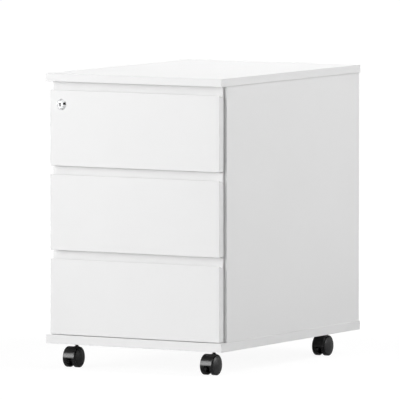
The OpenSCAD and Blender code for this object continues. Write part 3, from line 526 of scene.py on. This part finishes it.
for k, z0 in DRAWER_Z.items():
    body = f"drawer_{k}"
    line = outline([(Y_FACE + y, z0 + z) for y, z in GRIP], GRIP_R)
    front = solid(f"drawer_front_{k}", [board(line, -X_FRONT, X_FRONT, BAND_EDGE, "+x")], melamine)
    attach(front, body)
    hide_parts(f"{body}_front")

    foot, z1 = z0 + BOX_FOOT, extent(f"{body}_sides")[1][2]
    bottom_lo, bottom_hi = extent(f"{body}_bottom")
    slit_low, slit_high = bottom_lo[2] - GROOVE_PLAY, bottom_hi[2] + GROOVE_PLAY
    slit_x = X_BOXIN + BOTTOM_IN
    grooved = [(foot, X_BOXIN), (foot, X_BOX), (z1, X_BOX), (z1, X_BOXIN), (slit_high, X_BOXIN),
               (slit_high, slit_x), (slit_low, slit_x), (slit_low, X_BOXIN)]
    sides = solid(f"drawer_sides_{k}", [board(outline(section, BOX_R), Y_REAR, Y_BOX, BOX_EDGE, "+y")
                                        for section in both_hands(grooved)], foil)
    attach(sides, body)
    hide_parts(f"{body}_sides")

    lo, hi = extent(f"{body}_back")
    line = outline(oblong(lo[1:], hi[1:]), BOX_BACK_R)
    rear = solid(f"drawer_back_{k}", [board(line, lo[0], hi[0], SAWN_EDGE, "+x")], foil)
    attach(rear, body)
    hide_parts(f"{body}_back")

    line = outline(oblong(bottom_lo, bottom_hi), BOTTOM_R)
    floor_board = solid(f"drawer_bottom_{k}", [board(line, bottom_lo[2], bottom_hi[2], BOX_EDGE)], foil)
    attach(floor_board, body)
    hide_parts(f"{body}_bottom")

    # The rail wraps the lower corner of the box side, and its flange runs on the roller. On the left a
    # tongue rises from it and ends in the catch ear of the lock.
    x_sheet, flange = X_BOX + SHEET, z0 + FLANGE_Z
    wrap = [(foot - SHEET, X_BOXIN), (foot - SHEET, x_sheet), (flange - SHEET, x_sheet),
            (flange - SHEET, FLANGE_X), (flange, FLANGE_X), (flange, X_BOX), (foot, X_BOX), (foot, X_BOXIN)]
    parts = [board(outline(section, BENT_R), Y_REAR + RAIL_START, Y_BOX, SHEET_EDGE, "+y")
             for section in both_hands(wrap)]
    tongue = outline(oblong((-x_sheet, EAR_Y[0]), (-X_BOX, EAR_Y[1])), SNUG_R)
    ear = outline([(-FLANGE_X, EAR_Y[0]), (-X_BOX, EAR_Y[0]), (-X_BOX, EAR_Y[1]), (-x_sheet, EAR_Y[1]),
                   (-x_sheet, EAR_Y[0] + EAR_T), (-FLANGE_X, EAR_Y[0] + EAR_T)], EAR_R)
    parts += [board(tongue, flange - SHEET, z0 + EAR_Z, SHEET_EDGE),
              board(ear, z0 + EAR_Z, extent(f"{body}_rails")[1][2], SHEET_EDGE)]
    parts += pin_pair(REAR_PIN_X, REAR_ROLLER_Y, z0 + REAR_ROLLER_Z)
    rails = solid(f"drawer_rails_{k}", parts, powder)
    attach(rails, body)
    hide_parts(f"{body}_rails")

    rollers = solid(f"drawer_rollers_{k}", roller_pair(REAR_ROLLER_Y, z0 + REAR_ROLLER_Z), acetal)
    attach(rollers, f"{body}_rollers")
    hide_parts(f"{body}_rollers")

    box_cam_z = (foot + z1) / 2 + BOX_CAM_UP
    rod = outline([(0, ROD_Y[0]), (ROD_R, ROD_Y[0]), (ROD_R, ROD_Y[1]), (0, ROD_Y[1])], BOLT_END_R,
                  closed=False, steps=3)
    parts = []
    for sign, inward in INWARD:
        outward = "+x" if sign > 0 else "-x"
        parts += [fastener(inward, (sign * X_BOXIN, BOX_CAM_Y, box_cam_z), **BOX_CAM)]
        parts += [fastener(outward, (sign * X_BOX, Y_BOX - BACK_SCREW_IN, z0 + up + share * (z1 - z0)),
                           **BACK_SCREW) for up, share in BACK_SCREW_Z]
        parts += [fastener(outward, (sign * x_sheet, y, z0 + BENT_SCREW_Z), **BENT_SCREW)
                  for y in BENT_SCREW_Y]
        parts += [turned(rod, "+y", (sign * (X_BOX - ROD_IN), 0, box_cam_z), steps=24)]
    fittings = solid(f"drawer_fittings_{k}", parts, zinc)
    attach(fittings, body)
    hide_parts(f"{body}_fittings")

# Lock
# A die-cast cylinder lock in the top front: a chromed conical collar around a turning plug with an upright
# key slot, a nut behind the board, and a tail whose pin lifts the steel bar on the left side panel.

# Chrome plating: a hard mirror with hairline polishing marks of 0.6 mm that barely dull it. The band value
# marks the inside of the keyway, which is painted dark as its shade and made rough.
chrome, tree, shader = new_finish("polished_chrome")
place = add(tree, "ShaderNodeTexCoord").outputs["Object"]
hairline = add(tree, "ShaderNodeTexNoise", {"Vector": place, "Scale": MM_PER_M / 0.6, "Detail": 3.0})
dulled = add(tree, "ShaderNodeMapRange", {"Value": hairline.outputs[0], "To Min": 0.05, "To Max": 0.12})
band = add(tree, "ShaderNodeAttribute", attribute_name="band")
chrome_with_painted_keyway_shade = add(tree, "ShaderNodeMix", {MIX: band.outputs["Fac"], A: linear("#EDEEEF"), B: linear("#2E2E30")},
             data_type="RGBA")
keyway_roughness = add(tree, "ShaderNodeMath", {0: band.outputs["Fac"], 1: 0.4, 2: dulled.outputs[0]},
           operation="MULTIPLY_ADD")
shader.inputs["Metallic"].default_value = 1.0
tree.links.new(chrome_with_painted_keyway_shade.outputs[MIXED], shader.inputs["Base Color"])
tree.links.new(keyway_roughness.outputs[0], shader.inputs["Roughness"])

# Dark moulded plastic of the bar guides: charcoal, lightly grained by its mould at 0.7 mm.
charcoal, tree, shader = new_finish("charcoal_moulding")
place = add(tree, "ShaderNodeTexCoord").outputs["Object"]
mould = add(tree, "ShaderNodeTexNoise", {"Vector": place, "Scale": MM_PER_M / 0.7, "Detail": 3.0})
matt = add(tree, "ShaderNodeMapRange", {"Value": mould.outputs[0], "To Min": 0.42, "To Max": 0.58})
shader.inputs["Base Color"].default_value = linear("#4A4A4C")
tree.links.new(matt.outputs[0], shader.inputs["Roughness"])

LOCK = np.array([-171.5, Y_FACE, 537.0])
PROUD, SHELL_END, SHELL_R = 4.8, -23, 9.5
COLLAR_R, COLLAR_EDGE, COLLAR_FACE_R = 11.5, 0.4, 7.5
BORE_R, SEAT_R, SEAT_Z = 5.8, 6.6, 2.8
PLUG_PLAY, PLUG_STEP, PLUG_SUNK, PLUG_TAIL = 0.05, 1.7, 0.3, 0.3
KEY_SLOT, KEY_DEPTH = (1.5, 3.5), 17

collar = outline([(BORE_R, SHELL_END), (SHELL_R, SHELL_END), (SHELL_R, 0), (COLLAR_R, 0),
                  (COLLAR_R, COLLAR_EDGE), (COLLAR_FACE_R, PROUD), (SEAT_R, PROUD), (SEAT_R, SEAT_Z),
                  (BORE_R, SEAT_Z)], [0.2, 0.3, 0.2, 0.15, 0.25, 0.4, 0.2, 0.2, 0.2])
housing = solid("lock_collar", [turned(collar, "-y", LOCK, steps=96, looped=True)], chrome)
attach(housing, "drawer_1")
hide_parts("lock_housing")


def keyed_plug(body_r, head_r, rear, step, face, slot, depth):
    """Turned plug whose face closes in from a circle to the key slot: ring by ring, point j of the circle
    moves to point j of the slot's outline, which then goes straight in by depth and ends in a floor."""
    quarter, slot_r, lip_w, flat_share = 20, 0.5, 0.2, 0.7
    count = 4 * quarter
    edge, edge_n = outline(oblong((-slot[0], -slot[1]), slot), slot_r, steps=quarter)
    angle = np.pi + 2 * np.pi * (np.arange(count) + 0.5) / count
    spread = np.stack([np.cos(angle), np.sin(angle), np.ones(count)], -1)
    shape, normal = outline(
        [(0, rear), (body_r, rear), (body_r, step), (head_r, step), (head_r, face), (0, face)],
        [0, 0.3, 0.2, 0.1, 0.35, 0], closed=False)
    shape, normal = shape[1:-1], normal[1:-1]
    flat = np.broadcast_to([0.0, 0.0, 1.0], (count, 3))
    wall = np.column_stack([-edge_n, np.zeros(count)])
    level = np.ones((count, 1))
    circle = np.column_stack([spread[:, :2] * head_r * flat_share, level * face])
    lip = np.column_stack([edge + edge_n * lip_w, level * face])
    rim = np.column_stack([edge, level * (face - lip_w)])
    end = np.column_stack([edge, level * (face - depth)])
    floor_edge = np.column_stack([edge - edge_n * lip_w, level * (face - depth)])
    grid = np.concatenate([shape[:, None, [0, 0, 1]] * spread, [circle, lip, rim, end, floor_edge]])
    normals = np.concatenate([normal[:, None, [0, 0, 1]] * spread, [flat, flat, wall, wall, flat]])
    # Band 1 on the keyway's walls and floor, where the chrome is painted dark as shade
    keyway = np.zeros(grid.shape[:2])
    keyway[-3:] = 1
    return rings(grid, normals, "-y", LOCK, band=keyway)


slotted = keyed_plug(BORE_R - PLUG_PLAY, SEAT_R - PLUG_PLAY, SHELL_END - PLUG_TAIL, PROUD - PLUG_STEP,
                     PROUD - PLUG_SUNK, KEY_SLOT, KEY_DEPTH)
plug = solid("lock_key_plug", [slotted], chrome)
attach(plug, "lock_plug")
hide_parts("lock_plug")

LOCK_FINISH = {"lock_nut": zinc, "lock_tail": zinc, "lock_bar": zinc, "lock_bar_guides": charcoal}
for name, coat in LOCK_FINISH.items():
    for slot in cad[name].material_slots:
        slot.material = coat

# Casters
# Twin-wheel casters: a glossy moulded hood with a rib between the wheels, two wheels on one steel axle, and
# a black stem that turns in a zinc-plated socket under the base.

# Gloss black: polished nylon, almost black, with a clear reflection over faint mould flow of 9 mm.
gloss, tree, shader = new_finish("gloss_black_nylon")
place = add(tree, "ShaderNodeTexCoord").outputs["Object"]
swirl = add(tree, "ShaderNodeTexNoise", {"Vector": place, "Scale": MM_PER_M / 9, "Detail": 4.0})
polish = add(tree, "ShaderNodeMapRange", {"Value": swirl.outputs[0], "To Min": 0.25, "To Max": 0.32})
shader.inputs["Base Color"].default_value = linear("#0D0D0E")
tree.links.new(polish.outputs[0], shader.inputs["Roughness"])

# Tread black: moulded polypropylene with a fine spark-eroded grain of 0.3 mm, drawn 0.6 mm to show.
tread, tree, shader = new_finish("grained_black_wheel")
place = add(tree, "ShaderNodeTexCoord").outputs["Object"]
spark = add(tree, "ShaderNodeTexNoise", {"Vector": place, "Scale": MM_PER_M / 0.6, "Detail": 3.0})
scuff = add(tree, "ShaderNodeTexNoise", {"Vector": place, "Scale": MM_PER_M / 7, "Detail": 4.0})
dusty = add(tree, "ShaderNodeMix", {MIX: scuff.outputs[0], A: linear("#151516"), B: linear("#1B1B1C")},
            data_type="RGBA")
fine = add(tree, "ShaderNodeMapRange", {"Value": scuff.outputs[0], "To Min": 0.2, "To Max": 0.27})
pitted = add(tree, "ShaderNodeBump", {"Strength": 0.25, "Distance": 0.00004, "Height": spark.outputs[0]})
shader.inputs["Specular IOR Level"].default_value = 0.22
tree.links.new(dusty.outputs[MIXED], shader.inputs["Base Color"])
tree.links.new(fine.outputs[0], shader.inputs["Roughness"])
tree.links.new(pitted.outputs[0], shader.inputs["Normal"])

# Black-finished steel of stem and axle: oiled oxide, a dark brownish grey with a dull metal sheen.
oxide, tree, shader = new_finish("black_oxide_steel")
place = add(tree, "ShaderNodeTexCoord").outputs["Object"]
oily = add(tree, "ShaderNodeTexNoise", {"Vector": place, "Scale": MM_PER_M / 3, "Detail": 3.0})
burnt = add(tree, "ShaderNodeMix", {MIX: oily.outputs[0], A: linear("#262524"), B: linear("#33312F")},
            data_type="RGBA")
shader.inputs["Metallic"].default_value = 0.8
shader.inputs["Roughness"].default_value = 0.4
tree.links.new(burnt.outputs[MIXED], shader.inputs["Base Color"])

STEMS = {"fl": (-161, -241.5), "fr": (161, -241.5), "rl": (-161, 224), "rr": (161, 224)}
STEM_BORE, SLEEVE_R, SLEEVE_TOP, COLLAR_LOW, SOCKET_COLLAR_R = 3.05, 5, 63, 45, 7
TRAIL, AXLE_Z = 12.4, 20
HOOD_IN, HOOD_OUT, HOOD_HALF, HOOD_EDGE = 21.2, 22.5, 13.2, 0.3
HOOD_R = (HOOD_IN + HOOD_OUT) / 2
# The rear end of the hood lies on a line that rises 1 in 4 from the axle
REAR_END = np.arctan(1 / 4)
RIB_HALF, RIB_HUB, RIB_EDGE, CHAMFER = 5.25, 5.5, 0.2, 0.15
BOSS_LOW, BOSS_R, NECK_R = 22, 5.25, 3.0

sleeve = outline([(STEM_BORE, COLLAR_LOW), (SOCKET_COLLAR_R, COLLAR_LOW), (SOCKET_COLLAR_R, base_z),
                  (SLEEVE_R, base_z), (SLEEVE_R, SLEEVE_TOP), (STEM_BORE, SLEEVE_TOP)],
                 [0.3, 0.6, 0.2, 0.2, 0.4, 0.3])
sockets = solid("caster_collars",
                [turned(sleeve, "+z", (x, y, 0), steps=64, looped=True) for x, y in STEMS.values()], zinc)
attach(sockets, "carcass")
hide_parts("caster_sockets")


def direction(angle):
    """Unit vectors at the given angles: the cosine and the sine of each."""
    return np.stack([np.cos(angle), np.sin(angle)], -1)


def wrapped(part, x, y):
    """A straight strip wrapped round the axle: its length along the strip becomes an angle, length over
    the hood's middle radius, and its second coordinate a radius."""
    points, normals, faces, band = part
    angle = points[:, 2] / HOOD_R
    out, along = direction(angle), direction(angle + np.pi / 2)
    yz = points[:, 1:2] * out + (y - TRAIL, AXLE_Z)
    normal_yz = normals[:, 1:2] * out + normals[:, 2:] * along
    return np.column_stack([points[:, 0] + x, yz]), np.column_stack([normals[:, 0], normal_yz]), faces, band


def rib_line():
    """Side view of the rib: the arc under the hood from its rear end to the front, along the axle line to
    the hub, under the hub and back along the rising rear edge. Small chamfers keep its corners apart."""
    trim, trim_hub = CHAMFER / HOOD_R, CHAMFER / RIB_HUB
    arc = np.linspace(REAR_END + trim, np.pi - trim, 48)
    under = np.linspace(np.pi + trim_hub, 2 * np.pi + REAR_END - trim_hub, 24)
    front_edge = [(CHAMFER - HOOD_R, 0), (-RIB_HUB - CHAMFER, 0)]
    rear_edge = np.outer([RIB_HUB + CHAMFER, HOOD_R - CHAMFER], direction(REAR_END))
    rise = direction(REAR_END - np.pi / 2)
    points = np.concatenate([direction(arc) * HOOD_R, front_edge, direction(under) * RIB_HUB, rear_edge])
    normals = np.concatenate([direction(arc), [(0, -1), (0, -1)], direction(under), [rise, rise]])
    return points, normals


def wheel_line():
    """Half section of a wheel: blind bore, hub, hollow back, rim with rounded shoulders, and an outer face
    that bulges by bulge * (1 - (r / shoulder)^2), less a fine ring whose depth is a parabola."""
    bore, hub, rim, shoulder, wheel_r, middle = 2.05, 5.5, 16.8, 18.7, 20, 0.8
    back, web, bore_end, face_x, bulge = 5.75, 12.8, 14.2, 15, 1.5
    ring_r, ring_half, ring_deep = 17.5, 0.35, 0.15
    inner, normal = outline([(bore, bore_end), (bore, back), (hub, back), (hub, web), (rim, web),
                             (rim, back), (wheel_r, back), (wheel_r, face_x), (shoulder, face_x)],
                            [0, 0.3, 0.4, 0.8, 0.8, 0.5, 1.2, 1.2, 0], closed=False)
    r = np.r_[np.linspace(shoulder, ring_r + 0.5, 4), np.linspace(ring_r + 0.4, ring_r - 0.4, 9),
              np.linspace(ring_r - 0.6, middle, 16)]
    ring = ring_deep * np.clip(1 - ((r - ring_r) / ring_half) ** 2, 0, 1)
    face = np.column_stack([r, face_x + bulge * (1 - (r / shoulder) ** 2) - ring])
    slope = np.gradient(face[:, 1], face[:, 0])
    face_n = np.column_stack([-slope, np.ones_like(r)]) / np.hypot(slope, 1)[:, None]
    return np.concatenate([inner[:-1], face]), np.concatenate([normal[:-1], face_n])


strip = outline(oblong((-HOOD_HALF, HOOD_IN), (HOOD_HALF, HOOD_OUT)), [0.4, 0.4, 0.5, 0.5])
straight = board(strip, REAR_END * HOOD_R, np.pi * HOOD_R, HOOD_EDGE, stations=60)
for name, (x, y) in STEMS.items():
    axle = (x, y - TRAIL, AXLE_Z)
    boss_top = extent(f"caster_{name}_hood")[1][2]
    rib = board(rib_line(), -RIB_HALF, RIB_HALF, RIB_EDGE, "+x", axle)
    boss = outline([(0, BOSS_LOW), (BOSS_R, BOSS_LOW), (BOSS_R, boss_top), (NECK_R, boss_top)],
                   [0, 0.4, 1.0, 0], closed=False)
    hood = solid(f"caster_{name}_cover",
                 [wrapped(straight, x, y), rib, turned(boss, "+z", (x, y, 0), steps=64)], gloss)
    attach(hood, f"caster_{name}")
    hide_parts(f"caster_{name}_hood")

    for side, facing in (("left", "-x"), ("right", "+x")):
        wheel = solid(f"caster_{name}_{side}_roller", [turned(wheel_line(), facing, axle, steps=128)], tread)
        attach(wheel, f"caster_{name}_wheel_{side}")
        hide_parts(f"caster_{name}_wheel_{side}")

    for slot in cad[f"caster_{name}_pins"].material_slots:
        slot.material = oxide

# Floor
# A pale seamless studio floor, not part of the object. It reads as white to the camera and in mirrors and
# still takes a soft shadow. Close to the cabinet its glow is dimmed as painted shade: a little where the
# camera sees it, and much more where metal mirrors it, so that the casters mirror a painted shadow under the
# cabinet.
FLOOR = 60.0
SHADOW_DEPTH = 0.14
# Metres from the middle between which each value goes from its first to its second number
# Near the cabinet each glow is lower: painted shade, slight for the camera and strong in mirrors
WHITE_REACH, WHITE = (0.5, 1.6), (0.92, 1.0)
MIRROR_REACH, MIRROR_GLOW_PAINTED_SHADE_NEAR, MIRROR_DEPTH = (0.8, 3.0), (0.12, 0.7), (0.75, 0.5)

floor_mesh = bpy.data.meshes.new("floor")
floor_mesh.from_pydata([(x, y, 0) for x, y in oblong((-FLOOR, -FLOOR), (FLOOR, FLOOR))], [], [(0, 1, 2, 3)])
floor = bpy.data.objects.new("floor", floor_mesh)
bpy.context.scene.collection.objects.link(floor)


def seen_rays(tree):
    """1 on rays from the camera, off a mirror or through glass, 0 on rays that only carry light; and 1 on
    mirror rays alone."""
    path = add(tree, "ShaderNodeLightPath")
    seen = add(tree, "ShaderNodeMath", {0: path.outputs["Is Camera Ray"], 1: path.outputs["Is Glossy Ray"]},
               operation="MAXIMUM")
    seen = add(tree, "ShaderNodeMath", {0: seen.outputs[0], 1: path.outputs["Is Transmission Ray"]},
               operation="MAXIMUM")
    return seen.outputs[0], path.outputs["Is Glossy Ray"]


def blended(tree, value, ends, reach=(0.0, 1.0)):
    """Goes straight from the first end to the second while value crosses reach."""
    return add(tree, "ShaderNodeMapRange", {"Value": value, "From Min": reach[0], "From Max": reach[1],
                                            "To Min": ends[0], "To Max": ends[1]}).outputs[0]


paper_floor = bpy.data.materials.new("pale_studio_floor")
paper_floor.use_nodes = True
tree = paper_floor.node_tree
tree.nodes.clear()
seen, mirrored = seen_rays(tree)
place = add(tree, "ShaderNodeTexCoord").outputs["Object"]
distance = add(tree, "ShaderNodeVectorMath", {0: place}, operation="LENGTH").outputs["Value"]
# Glow that dims towards the cabinet: painted shade on the floor and in its reflections
white = blended(tree, distance, WHITE, WHITE_REACH)
mirror_glow_painted_shade_near = blended(tree, distance, MIRROR_GLOW_PAINTED_SHADE_NEAR, MIRROR_REACH)
mirror_depth = blended(tree, distance, MIRROR_DEPTH, MIRROR_REACH)
shade = add(tree, "ShaderNodeBsdfDiffuse", {"Color": blended(tree, mirrored, (SHADOW_DEPTH, mirror_depth))})
glow = add(tree, "ShaderNodeEmission", {"Strength": blended(tree, mirrored, (white, mirror_glow_painted_shade_near))})
pale = add(tree, "ShaderNodeAddShader", {0: glow.outputs[0], 1: shade.outputs[0]})
lit = add(tree, "ShaderNodeBsdfDiffuse", {"Color": linear("#EEEEEE")})
both = add(tree, "ShaderNodeMixShader", {0: seen, 1: lit.outputs[0], 2: pale.outputs[0]})
add(tree, "ShaderNodeOutputMaterial", {"Surface": both.outputs[0]})
floor_mesh.materials.append(paper_floor)

# Light
# Seven soft boxes in a white room: a wide one and a tall strip far off at the front left light the fronts,
# one high on the right lights the side and shades it under the top's overhang, and weak ones fill the rest.
# A black card on the right, which only mirrors see, draws the dark wedge in the lock's collar.
FLAG_X, FLAG_Y, FLAG_Z = 1.6, (-1.9, -0.6), (0.35, 2.0)
flag_corners = oblong((FLAG_Y[0], FLAG_Z[0]), (FLAG_Y[1], FLAG_Z[1]))
flag_mesh = bpy.data.meshes.new("black_flag")
flag_mesh.from_pydata([(FLAG_X, y, z) for y, z in flag_corners], [], [(0, 1, 2, 3)])
flag = bpy.data.objects.new("black_flag", flag_mesh)
flag.visible_camera = flag.visible_diffuse = flag.visible_shadow = flag.visible_transmission = False
bpy.context.scene.collection.objects.link(flag)
black_card, tree, shader = new_finish("black_flag_card")
shader.inputs["Base Color"].default_value = linear("#060606")
shader.inputs["Roughness"].default_value = 0.9
flag_mesh.materials.append(black_card)

ROOM_LIGHT = 0.12
world = bpy.data.worlds.new("white_room")
bpy.context.scene.world = world
world.use_nodes = True
tree = world.node_tree
tree.nodes.clear()
seen, _ = seen_rays(tree)
room = add(tree, "ShaderNodeBackground", {"Strength": blended(tree, seen, (ROOM_LIGHT, 1.0))})
add(tree, "ShaderNodeOutputWorld", {"Surface": room.outputs[0]})

# Place and size in metres, power in watts
LAMPS = {
    "front_soft_box": ((-1.8, -7.0, 1.15), (3.5, 1.0), 57.5),
    "tall_strip": ((-3.3, -5.8, 2.6), (1.1, 4.7), 226.0),
    "left_soft_box": ((-2.6, -2.2, 0.9), (1.0, 1.2), 16.5),
    "right_soft_box": ((2.35, 0.4, 2.75), (1.6, 1.6), 50.0),
    "right_rear_low_box": ((2.8, 2.3, 0.38), (0.8, 0.5), 18.5),
    "top_soft_box": ((0.0, -0.6, 3.0), (2.4, 2.4), 4.0),
    "left_rear_soft_box": ((-2.0, 3.0, 1.0), (1.6, 1.2), 18.0),
}
AIM = Vector((0.0, 0.0, 0.3))
for name, (at, size, power) in LAMPS.items():
    lamp = bpy.data.lights.new(name, "AREA")
    lamp.shape = "RECTANGLE"
    lamp.size, lamp.size_y = size
    lamp.energy = power
    holder = bpy.data.objects.new(name, lamp)
    holder.location = at
    holder.rotation_euler = (AIM - Vector(at)).to_track_quat("-Z", "Y").to_euler()
    holder.visible_camera = False
    bpy.context.scene.collection.objects.link(holder)

# Camera
# A long lens about 15 m away, at the photograph's angle: 30 degrees round to the right and looking down
# by a little over 4 degrees. The place and the lens were fitted to the cabinet's edges in the picture.
LENS, SENSOR = 647.556, 36.0
CAMERA_AT = (7.32843, -12.77299, 1.46353)
LOOK_DOWN, LOOK_ROUND = 4.39957, 29.88006

lens = bpy.data.cameras.new("long_lens")
lens.lens, lens.sensor_width = LENS, SENSOR
lens.clip_start, lens.clip_end = 1.0, 200.0
camera = bpy.data.objects.new("camera", lens)
camera.location = CAMERA_AT
camera.rotation_euler = np.radians((90 - LOOK_DOWN, 0, LOOK_ROUND))
bpy.context.scene.collection.objects.link(camera)
bpy.context.scene.camera = camera
bpy.context.scene.view_settings.view_transform = "Standard"
